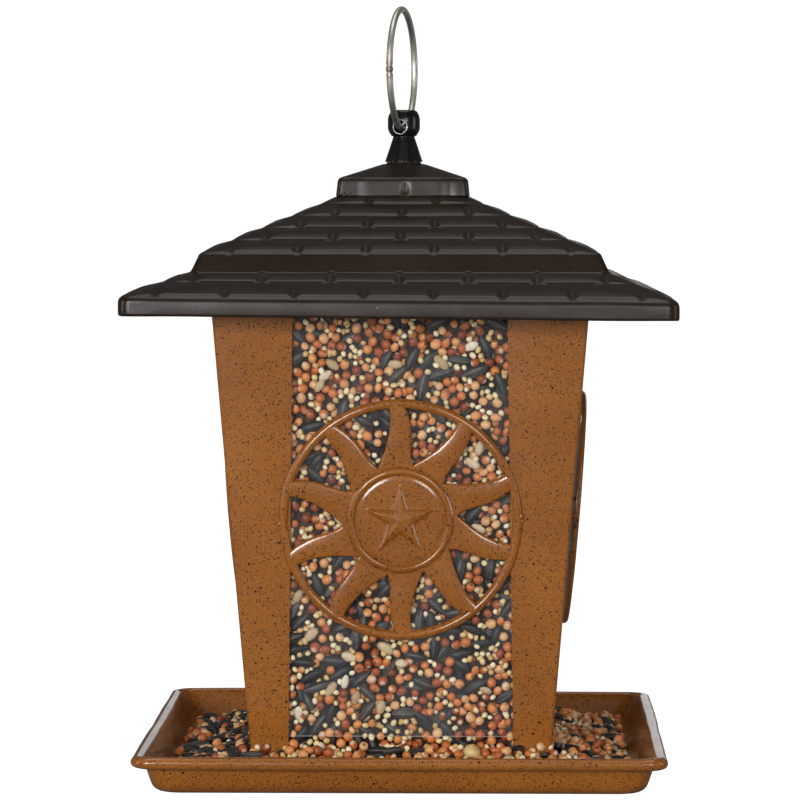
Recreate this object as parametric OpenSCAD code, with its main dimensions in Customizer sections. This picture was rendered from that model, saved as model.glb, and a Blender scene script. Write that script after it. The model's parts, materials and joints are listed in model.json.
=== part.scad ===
// Hanging lantern bird feeder: four tapered corner posts on a square seed tray, clear windows,
// a sun medallion on each side, and a stepped roof held down by a finial on a central rod.
// Millimetres, +Z up. The origin is at the centre of the tray's underside, on the surface it stands on.
// The front is at -Y.

/* [Tray] */
// Width of the tray across its rolled rim
tray_w = 203; // [196:1:210]
// Width across the floor's outer edge
tray_floor_w = 180; // [176:1:184]
// Height of the top of the rolled rim
tray_h = 15; // [14:0.5:18]
// Thickness of the bead rolled along the rim
rim_bead_d = 4.8; // [4:0.2:5.4]
// Drain holes in the tray floor
drain_d = 3.2; // [2:0.2:4]

/* [Body] */
// Width across the posts at the tray floor
body_foot_w = 114.8; // [110:0.5:118]
// Width across the posts at their top
body_head_w = 147.6; // [144:0.5:149]
// Clear width between two posts at their foot
window_foot_w = 87.2; // [82:0.5:89]
// Clear width between two posts at their top
window_head_w = 81.2; // [76:0.5:84]
// Height of the windows' lower edge, which is the top of the feeding slot
slot_top_z = 17.3; // [16.5:0.1:20]
// Thickness of the clear windows
window_t = 1; // [0.8:0.1:1.2]
// Height up to which the hopper is filled
fill_z = 189; // [150:1:190]

/* [Medallion] */
// Outer diameter of each medallion
medallion_d = 93.6; // [88:0.4:96]
// Height of the medallions' centre
medallion_z = 102; // [95:1:110]
// Number of rays
ray_count = 10; // [8:1:12]

/* [Roof] */
// Width across the eaves
roof_w = 210; // [208:1:220]
// Height of the eaves' lower edge
eave_z = 180.2; // [178:0.1:182]
// Height of the skirt along the eaves
skirt_h = 6.4; // [5:0.1:7]
// Height of the roof's shoulder
shoulder_z = 204.3; // [204.2:0.1:206]

/* [Hanger] */
// Diameter of the central rod
rod_d = 6; // [5:0.5:6]
// Outer diameter of the hanging ring
ring_d = 49.8; // [46:0.2:54]
// Diameter of the ring's wire
ring_wire_d = 2.6; // [2:0.1:2.8]
// Turn of the finial's cross hole about the rod
finial_turn = 166; // [0:1:180]
// Turn of the ring, which sits a little askew in the hole
ring_turn = 169; // [163:1:172]

/* [Hidden] */

sheet_t = 0.8;             // pressed steel of the tray, roof and cap
post_t = 0.6;              // folded steel of the posts and channels
slip = 0.1;                // gap between pieces that only touch
body_top_z = 203.2;        // top of the posts
frame_top_z = body_top_z + sheet_t;
body_lean = atan((body_head_w - body_foot_w) / 2 / (body_top_z - sheet_t));

channel_gap = window_t + 2 * slip;     // slot that holds a window's edge
window_lap = 7;            // how far a window reaches behind each post
channel_foot = 11;         // far edge of the channel's welded foot, from the post's inner edge
channel_depth = 8;         // depth of the channel's slot
channel_lip = 2.5;         // near edge of the channel's lip, from the post's inner edge
channel_back = post_t + channel_gap + post_t;    // the channel's inner face, from the outer wall

boss_r = 13;               // raised middle of the tray, which hides the nut underneath
boss_h = 9;
tray_corner_r = 7;
tray_edge_r = 7;           // roundness of the tray's lower edge
baffle_w = 68;
baffle_top_z = 27;
baffle_neck_w = 16;
rod_fit = 0.05;            // running clearance of the finial on the rod
rod_hole_r = rod_d / 2 + 0.3;
rod_foot_z = 1.2;
nut_r = 5.77;
nut_h = 5;
washer_r = 7;
washer_t = 1.2;
seed_gap = 0.3;

bead_r = 1.8;              // half width of a medallion's half-round outer bead
hub_bead_r = 1.3;
hub_r = 20.2;              // outer radius of the medallion's hub
star_r = 14.2;
plate_t = 1;               // stamped plate of the rays
plate_z = 0.3;
tack_r = 1.2;              // weld tacks that hold a medallion off the posts
right_stand = 1.9;         // the right medallion stands proud on its tacks; the others lie on the posts

eave_corner_r = 5;
step_out = 79.5;           // half widths and heights of the roof's step
step_in = 76.3;
step_z = 197.1;
ridge_in = 22;             // half width of the flat under the cap
ridge_z = 227.4;
cap_w = 52.4;
cap_foot_z = 226;
cap_edge_z = 233.2;
cap_top_z = 239.3;
cap_seat_r = 7.6;

finial_foot_z = cap_top_z + 0.6;
finial_top_z = 260.6;
finial_eye_z = 253.7;      // height of the hole that holds the ring
finial_eye_r = 2.7;
finial_bore_z = 249.2;
ring_r = (ring_d - ring_wire_d) / 2;
ring_sag = 0.45;           // the ring's lowest point, below the hole's middle
ring_side = 0.7;           // how far the ring leans to one side of the hole

speckled_brown = [0.52, 0.29, 0.12];
roof_black = [0.13, 0.12, 0.11];

// Half width across the posts at height z
function wall(z) = (body_foot_w + (body_head_w - body_foot_w) * (z - sheet_t)
                    / (body_top_z - sheet_t)) / 2;

// Half of the clear width between two posts at height z
function opening(z) = (window_foot_w + (window_head_w - window_foot_w) * (z - sheet_t)
                       / (body_top_z - sheet_t)) / 2;

// A level square of half width w with rounded corners, as points at height z
function rounded_square(w, r, z, steps = 4) =
    [for (corner = [0:3], i = [0:steps])
        let (turn = 90 * corner, a = turn + 90 * i / steps,
             cx = (w - r) * (cos(turn) - sin(turn)), cy = (w - r) * (cos(turn) + sin(turn)))
        [cx + r * cos(a), cy + r * sin(a), z]];

function level(points, z) = [for (p = points) [p.x, p.y, z]];

// A solid through level sections that all have the same number of points, lowest first. caps lists the
// convex faces that close each end, as places in a section; one face does for a convex section.
module loft(sections, caps = undef) {
    n = len(sections[0]);
    top = (len(sections) - 1) * n;
    ends = is_undef(caps) ? [[for (i = [0:n - 1]) i]] : caps;
    polyhedron(
        points = [for (s = sections, p = s) p],
        faces = concat(
            ends,
            [for (k = [0:len(sections) - 2], i = [0:n - 1])
                let (a = k * n, j = (i + 1) % n) [a + i, a + n + i, a + n + j, a + j]],
            [for (face = ends) [for (i = [len(face) - 1:-1:0]) top + face[i]]]));
}

// A solid square stack from [half width, height, corner radius] rows, lowest first
module square_stack(rows) {
    loft([for (row = rows) rounded_square(row[0], row[2], row[1])]);
}

module four_sides() {
    for (turn = [0:90:270]) rotate([0, 0, turn]) children();
}

// Rows of the tray's wall, set in by inset from its outer face
function tray_rows(inset, floor_z) =
    let (foot = tray_floor_w / 2 - inset, head = tray_w / 2 - rim_bead_d + 0.6 - inset)
    concat(
        [for (a = [0:30:90])
            [foot - tray_edge_r * (1 - sin(a)) + 0.4 * sin(a), floor_z + tray_edge_r * (1 - cos(a)) * 0.6,
             tray_corner_r - inset / 2]],
        [[head, tray_h - rim_bead_d / 2 + (inset > 0 ? 0.1 : 0), tray_corner_r - inset / 2]]);

module tray_rim() {
    reach = tray_w / 2 - rim_bead_d / 2;
    straight = reach - tray_corner_r;
    translate([0, 0, tray_h - rim_bead_d / 2])
        four_sides() {
            translate([reach, -straight, 0])
                rotate([-90, 0, 0]) cylinder(r = rim_bead_d / 2, h = 2 * straight, $fn = 32);
            translate([straight, straight, 0])
                rotate_extrude(angle = 90, $fn = 48)
                    translate([tray_corner_r, 0]) circle(r = rim_bead_d / 2, $fn = 32);
        }
}

module tray() {
    color(speckled_brown)
    difference() {
        union() {
            difference() {
                square_stack(tray_rows(0, 0));
                square_stack(tray_rows(sheet_t, sheet_t));
            }
            cylinder(r1 = boss_r + 2, r2 = boss_r, h = boss_h, $fn = 64);
            tray_rim();
        }
        translate([0, 0, -sheet_t])
            cylinder(r1 = boss_r + 2, r2 = boss_r - sheet_t, h = boss_h, $fn = 64);
        cylinder(r = rod_hole_r, h = 3 * boss_h, center = true, $fn = 48);
        for (turn = [0:45:315])
            rotate([0, 0, turn]) translate([turn % 90 == 0 ? 74 : 98, 0, 0])
                cylinder(d = drain_d, h = 4, center = true, $fn = 32);
    }
}

// An L of folded sheet with a foot tab on the tray floor
module corner_post() {
    function section(z) =
        let (w = wall(z), e = opening(z), i = w - post_t)
        level([[e, -w], [w, -w], [w, -e], [i, -e], [i, -i], [e, -i]], z);
    foot_z = sheet_t;
    tab = wall(foot_z) - 0.2;
    tab_end = tab - 10;
    function tab_section(z) = level([[tab_end, -tab], [tab, -tab], [tab, -tab_end]], z);
    color(speckled_brown)
    union() {
        loft([section(foot_z), section(body_top_z)], [[0, 1, 4, 5], [1, 2, 3, 4]]);
        loft([tab_section(foot_z + slip), tab_section(foot_z + slip + post_t)]);
    }
}

// Folded strip behind one edge of a post, with a stop that the window stands on
module window_channel() {
    function section(outline, z) =
        level([for (p = outline) [opening(z) + p[0], p[1] - wall(z) + post_t]], z);
    lip = channel_gap + post_t;
    strip = [[channel_foot, 0], [channel_foot, post_t], [channel_depth + post_t, post_t],
             [channel_depth + post_t, lip], [channel_lip, lip], [channel_lip, channel_gap],
             [channel_depth, channel_gap], [channel_depth, 0]];
    stop = [[channel_lip, 0.05], [channel_depth + post_t / 2, 0.05],
            [channel_depth + post_t / 2, lip - 0.1], [channel_lip, lip - 0.1]];
    loft([section(strip, slot_top_z - 8), section(strip, body_top_z)],
         [[0, 1, 2, 7], [2, 3, 6, 7], [3, 4, 5, 6]]);
    loft([section(stop, slot_top_z - 2), section(stop, slot_top_z - slip)]);
}

module window_channels() {
    color(speckled_brown)
    four_sides() {
        window_channel();
        mirror([1, 0, 0]) window_channel();
    }
}

module window() {
    function section(z) =
        let (e = opening(z) + window_lap, front = post_t + slip - wall(z), back = front + window_t)
        level([[-e, front], [e, front], [e, back], [-e, back]], z);
    color([0.85, 0.9, 0.92, 0.35])
        loft([section(slot_top_z), section(body_top_z - 1)]);
}

// Square ring that ties the posts together and carries the roof
module top_frame() {
    leg_out = channel_back + slip;
    leg_in = leg_out + sheet_t;
    foot_z = body_top_z - 11;
    r = 1;
    color(speckled_brown)
    difference() {
        union() {
            square_stack([[wall(foot_z) - leg_out, foot_z, r],
                          [wall(body_top_z) - leg_out, body_top_z + slip, r]]);
            square_stack([[wall(body_top_z), body_top_z, r], [wall(frame_top_z), frame_top_z, r]]);
        }
        square_stack([[wall(foot_z) - leg_in, foot_z - 1, r],
                      [wall(frame_top_z) - leg_in, frame_top_z + 1, r]]);
    }
}

// Angle of a ray's centreline from its root, at radius r
function ray_bend(r) = -5.5 * sin(180 * (r - 21) / 30);

// Half width of a ray at radius r
function ray_half(r) = 3.2 + 2.2 * (44 - r) / 22 + 1.6 * exp((22 - r) / 2.5);

module ray(inner, outer, steps = 8) {
    radii = [for (i = [0:steps]) inner + (outer - inner) * i / steps];
    function edge(r, side) =
        let (a = ray_bend(r) + side * asin(ray_half(r) / r)) [r * cos(a), r * sin(a)];
    polygon(concat([for (r = radii) edge(r, 1)],
                   [for (i = [steps:-1:0]) edge(radii[i], -1)]));
}

module star() {
    waist = star_r * 0.4;
    outline = [for (i = [0:9]) let (a = 90 + 36 * i, r = i % 2 == 0 ? star_r : waist)
               [r * cos(a), r * sin(a), 0]];
    apex = [[0, 0, 1.4], [0, 0, -0.2]];
    polyhedron(points = concat(outline, apex),
               faces = concat([for (i = [0:9]) [i, 10, (i + 1) % 10]],
                              [for (i = [0:9]) [(i + 1) % 10, 11, i]]));
}

// A sun disc drawn flat, with its back on the XY plane and its tacks reaching down by stand
module medallion_flat(stand) {
    bead_ring_r = medallion_d / 2 - bead_r;
    difference() {
        union() {
            rotate_extrude($fn = 96) translate([bead_ring_r, 0]) circle(r = bead_r, $fn = 24);
            rotate_extrude($fn = 64)
                translate([hub_r - hub_bead_r, plate_z + plate_t / 2]) circle(r = hub_bead_r, $fn = 24);
        }
        translate([0, 0, -2 * bead_r]) cylinder(r = medallion_d, h = 2 * bead_r, $fn = 64);
    }
    translate([0, 0, plate_z]) {
        cylinder(r = hub_r + 1.6, h = plate_t, $fn = 64);
        for (i = [0:ray_count - 1])
            rotate([0, 0, 96 + i * 360 / ray_count])
                linear_extrude(plate_t) ray(hub_r + 0.4, bead_ring_r);
        translate([0, 0, plate_t]) star();
    }
    if (stand > slip)
        for (side = [-1, 1])
            translate([side * bead_ring_r, 0, slip - stand])
                cylinder(r = tack_r, h = stand + bead_r / 2, $fn = 24);
}

module sun_medallion(stand = slip) {
    color(speckled_brown)
        translate([0, -wall(medallion_z) - stand, medallion_z])
            rotate([90 + body_lean, 0, 0]) medallion_flat(stand);
}

// Low pyramid that sheds the seed towards the feeding slots
module seed_baffle() {
    base = sheet_t;
    color(speckled_brown)
    difference() {
        square_stack([[baffle_w / 2, base, 2], [baffle_neck_w / 2, baffle_top_z, 2]]);
        square_stack([[baffle_w / 2 - 1.4, base - 0.4, 1.2],
                      [baffle_neck_w / 2 - 1.2, baffle_top_z - sheet_t, 1.2]]);
        translate([0, 0, baffle_top_z])
            cylinder(r = rod_hole_r, h = 4, center = true, $fn = 48);
    }
}

module hex_nut(z) {
    translate([0, 0, z])
        difference() {
            cylinder(r = nut_r, h = nut_h, $fn = 6);
            translate([0, 0, -1]) cylinder(r = rod_d / 2 + rod_fit, h = nut_h + 2, $fn = 48);
        }
}

module center_rod() {
    top_z = finial_bore_z - 0.6;
    color("silver")
        translate([0, 0, rod_foot_z])
            cylinder(d = rod_d, h = top_z - rod_foot_z, $fn = 48);
}

module base_washer() {
    color("silver")
        translate([0, 0, boss_h - sheet_t - washer_t - slip])
            difference() {
                cylinder(r = washer_r, h = washer_t, $fn = 48);
                translate([0, 0, -1]) cylinder(r = rod_hole_r, h = washer_t + 2, $fn = 48);
            }
}

module base_nut() {
    color("silver") hex_nut(boss_h - sheet_t - washer_t - nut_h - 2 * slip);
}

module baffle_nut() {
    color("silver") hex_nut(baffle_top_z + slip);
}

// The seed in the hopper, out to the feeding slots
module seed_fill() {
    inset = channel_back + seed_gap;
    foot_z = sheet_t + post_t + seed_gap;
    slot_z = slot_top_z - 2.6;
    slot_half = wall(0) + 1;
    color([0.55, 0.33, 0.17])
    difference() {
        union() {
            square_stack([[wall(foot_z) - inset, foot_z, 1], [wall(fill_z) - inset, fill_z, 1]]);
            four_sides()
                translate([-opening(0) + 1.5, -slot_half, foot_z])
                    cube([2 * opening(0) - 3, slot_half, slot_z - foot_z]);
        }
        square_stack([[baffle_w / 2 + 1.2, sheet_t - 0.6, 1.6],
                      [baffle_neck_w / 2 + 0.6, baffle_top_z + seed_gap, 1.6]]);
        translate([0, 0, baffle_top_z - 1])
            cylinder(r = nut_r + seed_gap, h = nut_h + 2, $fn = 48);
        cylinder(r = rod_d / 2 + seed_gap, h = 2 * fill_z, center = true, $fn = 48);
    }
}

// The seed heaped in the tray round the body
module tray_seed() {
    foot_z = sheet_t + seed_gap;
    inner = wall(0) + 2.4;
    inner_z = 14.2;
    outer = tray_floor_w / 2 - 2.6;
    outer_z = 8;
    color([0.5, 0.3, 0.16])
    difference() {
        square_stack([[outer - 5, foot_z, 4], [outer, foot_z + 3, 5], [outer, outer_z, 5],
                      [inner + 2, inner_z, 1]]);
        square_stack([[inner, -1, 0.5], [inner, inner_z + 1, 0.5]]);
    }
}

// Rows of the roof's outer face, set in by inset; the slopes lose the same thickness
function roof_rows(inset) =
    let (half = roof_w / 2 - inset, lower = 1.07 * inset, upper = 1.09 * inset, r = eave_corner_r - inset / 2)
    [[half, inset > 0 ? eave_z - 1 : eave_z, r],
     [half, eave_z + skirt_h - lower / 2, r],
     [half - 0.5, eave_z + skirt_h + 0.9 - lower, r],
     [half - 1.6, eave_z + skirt_h + 1.5 - lower, r],
     [step_out - inset * 0.8, step_z - lower, 3],
     [step_in - inset * 0.9, shoulder_z - upper, 2.5],
     [ridge_in, ridge_z - inset, 2]];

module main_roof() {
    color(roof_black)
    difference() {
        square_stack(roof_rows(0));
        square_stack(roof_rows(sheet_t));
        translate([0, 0, ridge_z]) cylinder(r = rod_hole_r, h = 6, center = true, $fn = 48);
    }
}

module roof_cap() {
    half = cap_w / 2;
    color(roof_black)
    difference() {
        union() {
            square_stack([[half, cap_foot_z, 2], [half - 0.6, cap_edge_z - 0.8, 2],
                          [half - 1.3, cap_edge_z, 2], [cap_seat_r, cap_top_z - 0.2, 2]]);
            translate([0, 0, cap_top_z - 2]) cylinder(r = cap_seat_r, h = 2, $fn = 64);
        }
        square_stack([[half - sheet_t, cap_foot_z - 1, 1.6],
                      [half - sheet_t - 0.6, cap_edge_z - 1.3, 1.6],
                      [cap_seat_r, cap_top_z - 1.5, 1.6]]);
        translate([0, 0, cap_top_z]) cylinder(r = rod_hole_r, h = 8, center = true, $fn = 48);
    }
}

module finial_washer() {
    color("dimgray")
        translate([0, 0, cap_top_z])
            difference() {
                cylinder(r = 6.9, h = 0.5, $fn = 64);
                translate([0, 0, -1]) cylinder(r = rod_hole_r, h = 3, $fn = 48);
            }
}

// Turned knob that screws down on the rod, with a cross hole for the ring
module finial() {
    neck_z = 250;
    profile = [[0, finial_foot_z], [7.5, finial_foot_z], [7.3, finial_foot_z + 0.4], [4.2, neck_z],
               [5.1, neck_z + 0.5], [6, neck_z + 1.7], [6.43, neck_z + 3.2],
               [6.43, finial_top_z - 3], [6, finial_top_z - 1.4], [5, finial_top_z - 0.4],
               [4, finial_top_z], [0, finial_top_z]];
    color(roof_black)
    difference() {
        rotate_extrude($fn = 96) polygon(profile);
        translate([0, 0, finial_eye_z])
            rotate([90, 0, finial_turn])
                cylinder(r = finial_eye_r, h = 20, center = true, $fn = 48);
        translate([0, 0, finial_foot_z - 1])
            cylinder(r = rod_d / 2 + rod_fit, h = finial_bore_z - finial_foot_z + 1, $fn = 48);
    }
}

module hanging_ring() {
    color([0.72, 0.7, 0.66])
        translate([0, 0, finial_eye_z - ring_sag + ring_r])
            rotate([0, 90, ring_turn])
                translate([0, 0, ring_side])
                    rotate_extrude($fn = 128) translate([ring_r, 0]) circle(d = ring_wire_d, $fn = 32);
}

tray();
rotate([0, 0, 270]) corner_post();  // corner_post_front_left
corner_post();  // corner_post_front_right
rotate([0, 0, 180]) corner_post();  // corner_post_back_left
rotate([0, 0, 90]) corner_post();  // corner_post_back_right
window_channels();
top_frame();
window();  // window_front
rotate([0, 0, 180]) window();  // window_back
rotate([0, 0, 270]) window();  // window_left
rotate([0, 0, 90]) window();  // window_right
sun_medallion();  // sun_medallion_front
rotate([0, 0, 180]) sun_medallion();  // sun_medallion_back
rotate([0, 0, 270]) sun_medallion();  // sun_medallion_left
rotate([0, 0, 90]) sun_medallion(right_stand);  // sun_medallion_right
seed_baffle();
center_rod();
base_washer();
base_nut();
baffle_nut();
seed_fill();
tray_seed();
main_roof();
roof_cap();
finial_washer();
finial();
hanging_ring();
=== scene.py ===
"""Hanging lantern bird feeder: the looks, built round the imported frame.

Lengths are millimetres until a mesh is made, apart from lights, camera and textures, which are in metres.
"""

import json
from math import atan, ceil, cos, exp, hypot, pi, radians, sin, sqrt

import bpy
import numpy as np
from mathutils import Matrix, Vector, noise


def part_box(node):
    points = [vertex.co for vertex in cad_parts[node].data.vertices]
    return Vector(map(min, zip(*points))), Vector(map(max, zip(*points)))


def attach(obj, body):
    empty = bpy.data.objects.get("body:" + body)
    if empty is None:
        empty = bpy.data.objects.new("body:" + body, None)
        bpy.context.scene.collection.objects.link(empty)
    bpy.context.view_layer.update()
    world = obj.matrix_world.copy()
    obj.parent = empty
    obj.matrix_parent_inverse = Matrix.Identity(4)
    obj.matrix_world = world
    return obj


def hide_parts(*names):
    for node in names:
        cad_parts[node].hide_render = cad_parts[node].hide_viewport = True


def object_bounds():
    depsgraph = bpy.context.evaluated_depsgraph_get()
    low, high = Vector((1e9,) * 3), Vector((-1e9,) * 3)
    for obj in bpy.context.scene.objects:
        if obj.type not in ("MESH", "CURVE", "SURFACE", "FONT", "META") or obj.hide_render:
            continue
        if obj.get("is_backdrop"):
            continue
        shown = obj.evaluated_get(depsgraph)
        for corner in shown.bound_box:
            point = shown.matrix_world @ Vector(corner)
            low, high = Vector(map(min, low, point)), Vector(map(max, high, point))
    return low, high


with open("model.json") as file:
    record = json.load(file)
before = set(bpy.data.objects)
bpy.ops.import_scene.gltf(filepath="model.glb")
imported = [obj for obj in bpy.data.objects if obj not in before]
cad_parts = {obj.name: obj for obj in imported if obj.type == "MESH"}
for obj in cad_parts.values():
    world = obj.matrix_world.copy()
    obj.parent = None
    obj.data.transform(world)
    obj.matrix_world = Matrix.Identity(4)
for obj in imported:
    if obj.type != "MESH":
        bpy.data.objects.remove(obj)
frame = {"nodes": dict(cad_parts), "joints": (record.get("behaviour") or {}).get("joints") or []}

CAD_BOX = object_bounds()
MM = 0.001
SIDES = {"front": 0, "right": 1, "back": 2, "left": 3}  # quarter turns about the rod
TAU = 2 * pi


# ---------------------------------------------------------------- reading the frame

def node_box(name):
    """A node's lowest and highest corners, in millimetres."""
    low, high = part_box(name)
    return np.array(low) / MM, np.array(high) / MM


def node_points(name):
    """All of a node's mesh points, in millimetres."""
    mesh = frame["nodes"][name].data
    points = np.empty(len(mesh.vertices) * 3)
    mesh.vertices.foreach_get("co", points)
    return points.reshape(-1, 3) / MM


def side_reach(name, top):
    """The height of a node's top or foot, and the greatest and least |x| of its points there."""
    points = node_points(name)
    z = points[:, 2].max() if top else points[:, 2].min()
    level = np.abs(points[np.abs(points[:, 2] - z) < 0.02, 0])
    return z, level.max(), level.min()


TRAY_HIGH = node_box("tray")[1]
ROOF_LOW, ROOF_HIGH = node_box("main_roof")
CAP_LOW, CAP_HIGH = node_box("roof_cap")
FINIAL_LOW, FINIAL_HIGH = node_box("finial")
RING_LOW, RING_HIGH = node_box("hanging_ring")
WINDOW_LOW, WINDOW_HIGH = node_box("window_front")
MEDAL_LOW, MEDAL_HIGH = node_box("sun_medallion_front")
SEED_HIGH = node_box("seed_fill")[1]
ROD_LOW, ROD_HIGH = node_box("center_rod")
FOOT_Z, FOOT_WALL, FOOT_OPEN = side_reach("corner_post_front_right", top=False)
HEAD_Z, HEAD_WALL, HEAD_OPEN = side_reach("corner_post_front_right", top=True)
RING_JOINT = next(j for j in frame["joints"] if j["child"] == "ring")

SHEET = 0.8          # pressed steel of the tray, roof and cap
ROD_HOLE = 3.3       # radius of the rod's hole through them
POST_SHEET = 0.6
WINDOW_T = 1.0
WINDOW_BACK = POST_SHEET + 0.1 + WINDOW_T  # from the posts' outer face to the window's inner face


def along(z, foot, head):
    return foot + (head - foot) * (z - FOOT_Z) / (HEAD_Z - FOOT_Z)


def wall(z):
    """Half width across the posts at height z."""
    return along(z, FOOT_WALL, HEAD_WALL)


def opening(z):
    """Half of the clear width between two posts at height z."""
    return along(z, FOOT_OPEN, HEAD_OPEN)


LEAN = atan((HEAD_WALL - FOOT_WALL) / (HEAD_Z - FOOT_Z))


# ---------------------------------------------------------------- meshes

def turned(points, quarter_turns):
    """Points turned about the rod by quarter turns, anticlockwise from above."""
    points = np.asarray(points, float)
    c, s = [(1, 0), (0, 1), (-1, 0), (0, -1)][quarter_turns % 4]
    x, y = points[..., 0], points[..., 1]
    return np.stack([c * x - s * y, s * x + c * y, points[..., 2]], axis=-1)


def link(thing):
    bpy.context.scene.collection.objects.link(thing)


def make_piece(name, points, faces, materials, picks=None, smooth=True, sharp=None):
    """A mesh object from points in millimetres. picks gives each face's place in materials."""
    mesh = bpy.data.meshes.new(name)
    mesh.from_pydata((np.asarray(points) * MM).tolist(), [], [list(f) for f in faces])
    for material in materials:
        mesh.materials.append(material)
    if picks is not None:
        mesh.polygons.foreach_set("material_index", np.asarray(picks, np.int32))
    mesh.polygons.foreach_set("use_smooth", [smooth] * len(mesh.polygons))
    if sharp is not None:
        mesh.set_sharp_from_angle(angle=radians(sharp))
    mesh.validate()
    mesh.update()
    piece = bpy.data.objects.new(name, mesh)
    link(piece)
    return piece


def bore(piece, drill):
    """Cuts the drill's shape out of a piece and removes the drill."""
    cut = piece.modifiers.new("bore", "BOOLEAN")
    cut.object = drill
    cut.operation = "DIFFERENCE"
    cut.solver = "EXACT"
    bored = bpy.data.meshes.new_from_object(piece.evaluated_get(bpy.context.evaluated_depsgraph_get()))
    piece.modifiers.clear()
    piece.data = bored
    bpy.data.objects.remove(drill)


def settle(piece, body, slot, *nodes):
    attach(piece, body)
    if nodes:
        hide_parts(*nodes)
    return piece


def grid_faces(rows, columns, start=0, closed_rows=False, closed_columns=True):
    """Quads over a grid of points stored row by row."""
    i = np.arange(rows if closed_rows else rows - 1)[:, None]
    j = np.arange(columns if closed_columns else columns - 1)[None, :]
    here, down = i * columns, (i + 1) % rows * columns
    right = (j + 1) % columns
    quads = np.stack([here + j, here + right, down + right, down + j], axis=-1)
    return (quads.reshape(-1, 4) + start).tolist()


def fan(start, count, flip=False):
    face = list(range(start, start + count))
    return [face[::-1] if flip else face]


def ripple(loop, z, scale):
    """Smooth noise at each x, y of a loop."""
    return np.array([noise.noise(Vector((x, y, z)) * scale) for x, y in loop[:, :2]])


def rounded_path(corners, steps=5):
    """Points along a polyline of (x, z, cut) whose corners are rounded over the length cut on each side."""
    points = [np.array(corners[0][:2], float)]
    for before, corner, after in zip(corners, corners[1:], corners[2:]):
        p = np.array(corner[:2], float)
        if corner[2] == 0:
            points.append(p)
            continue
        a, b = np.array(before[:2]) - p, np.array(after[:2]) - p
        a, b = p + a / np.linalg.norm(a) * corner[2], p + b / np.linalg.norm(b) * corner[2]
        for t in np.linspace(0, 1, steps):
            points.append((1 - t) ** 2 * a + 2 * t * (1 - t) * p + t ** 2 * b)
    points.append(np.array(corners[-1][:2], float))
    return np.array(points)


def subdivided(points, longest):
    """The same path with extra points, so that no stretch is longer than longest."""
    out = [points[0]]
    for a, b in zip(points, points[1:]):
        parts = max(1, ceil(np.linalg.norm(b - a) / longest))
        out += [a + (b - a) * k / parts for k in range(1, parts + 1)]
    return np.array(out)


def square_loop(half, radius, per_side, per_corner):
    """Points round a square, anticlockwise from the front's left end, and how far along its side each is."""
    radius = min(radius, half)
    s = np.linspace(-(half - radius), half - radius, per_side)
    angle = np.linspace(-90, 0, per_corner + 2)[1:-1] * pi / 180
    arc_x = half - radius + radius * np.cos(angle)
    arc_y = -(half - radius) + radius * np.sin(angle)
    x = np.concatenate([s, arc_x])
    y = np.concatenate([np.full(per_side, -half), arc_y])
    along_side = np.concatenate([s, np.full(per_corner, half * 2)])
    quarter = np.stack([x, y, np.zeros_like(x)], axis=1)
    return np.concatenate([turned(quarter, k) for k in range(4)]), np.tile(along_side, 4)


def square_shell(path, radii, per_side, per_corner, relief=None, closed=True):
    """Points and faces of a shell that follows path, a list of (half width, z), round a rounded square."""
    rows = []
    tangent = np.gradient(path, axis=0)
    tangent /= np.linalg.norm(tangent, axis=1)[:, None]
    for k, (half, z) in enumerate(path):
        loop, s = square_loop(half, radii[k], per_side, per_corner)
        if relief is not None:
            lift = relief(k, half, s, loop)
            outward = loop[:, :2] / np.maximum(np.linalg.norm(loop[:, :2], axis=1)[:, None], 1e-6)
            flat = np.abs(loop[:, :2]) >= half - 1e-6
            outward = np.where(flat.any(axis=1)[:, None], flat * np.sign(loop[:, :2]), outward)
            # the path runs inward and up, so its outer side is to the right of its direction
            n_out, n_up = tangent[k, 1], -tangent[k, 0]
            loop[:, :2] += outward * (lift * n_out)[:, None]
            loop[:, 2] += lift * n_up
        loop[:, 2] += z
        rows.append(loop)
    points = np.concatenate(rows)
    faces = grid_faces(len(path), 4 * (per_side + per_corner), closed_rows=closed)
    return points, faces


def lathe(profile, segments):
    """Points and faces of a profile of (radius, z) turned about z. A radius of 0 makes one point."""
    angle = np.arange(segments) * TAU / segments
    points, faces, rings = [], [], []
    for r, z in profile:
        if r < 1e-9:
            rings.append([len(points)])
            points.append((0, 0, z))
            continue
        rings.append(list(range(len(points), len(points) + segments)))
        points += [(r * cos(a), r * sin(a), z) for a in angle]
    for low, high in zip(rings, rings[1:]):
        for j in range(segments):
            k = (j + 1) % segments
            if len(low) == 1:
                faces.append((high[j], high[k], low[0]))
            elif len(high) == 1:
                faces.append((low[j], low[k], high[0]))
            else:
                faces.append((low[j], low[k], high[k], high[j]))
    return np.array(points, float), faces


def tube(centres, radii, sides, closed):
    """Points and faces of a round tube along centres, a list of points, with a radius at each."""
    centres = np.asarray(centres, float)
    count = len(centres)
    if closed:
        tangent = np.roll(centres, -1, axis=0) - np.roll(centres, 1, axis=0)
    else:
        tangent = np.gradient(centres, axis=0)
    tangent /= np.linalg.norm(tangent, axis=1)[:, None]
    across = np.cross(tangent[0], [0, 0, 1.0])
    if np.linalg.norm(across) < 0.2:
        across = np.cross(tangent[0], [1.0, 0, 0])
    points = []
    for k in range(count):
        across = across - tangent[k] * np.dot(across, tangent[k])
        across /= np.linalg.norm(across)
        other = np.cross(tangent[k], across)
        angle = np.arange(sides) * TAU / sides
        ring = np.cos(angle)[:, None] * across + np.sin(angle)[:, None] * other
        points.append(centres[k] + radii[k] * ring)
    faces = grid_faces(count, sides, closed_rows=closed)
    if not closed:
        faces += fan(0, sides) + fan((count - 1) * sides, sides, flip=True)
    return np.concatenate(points), faces


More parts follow.
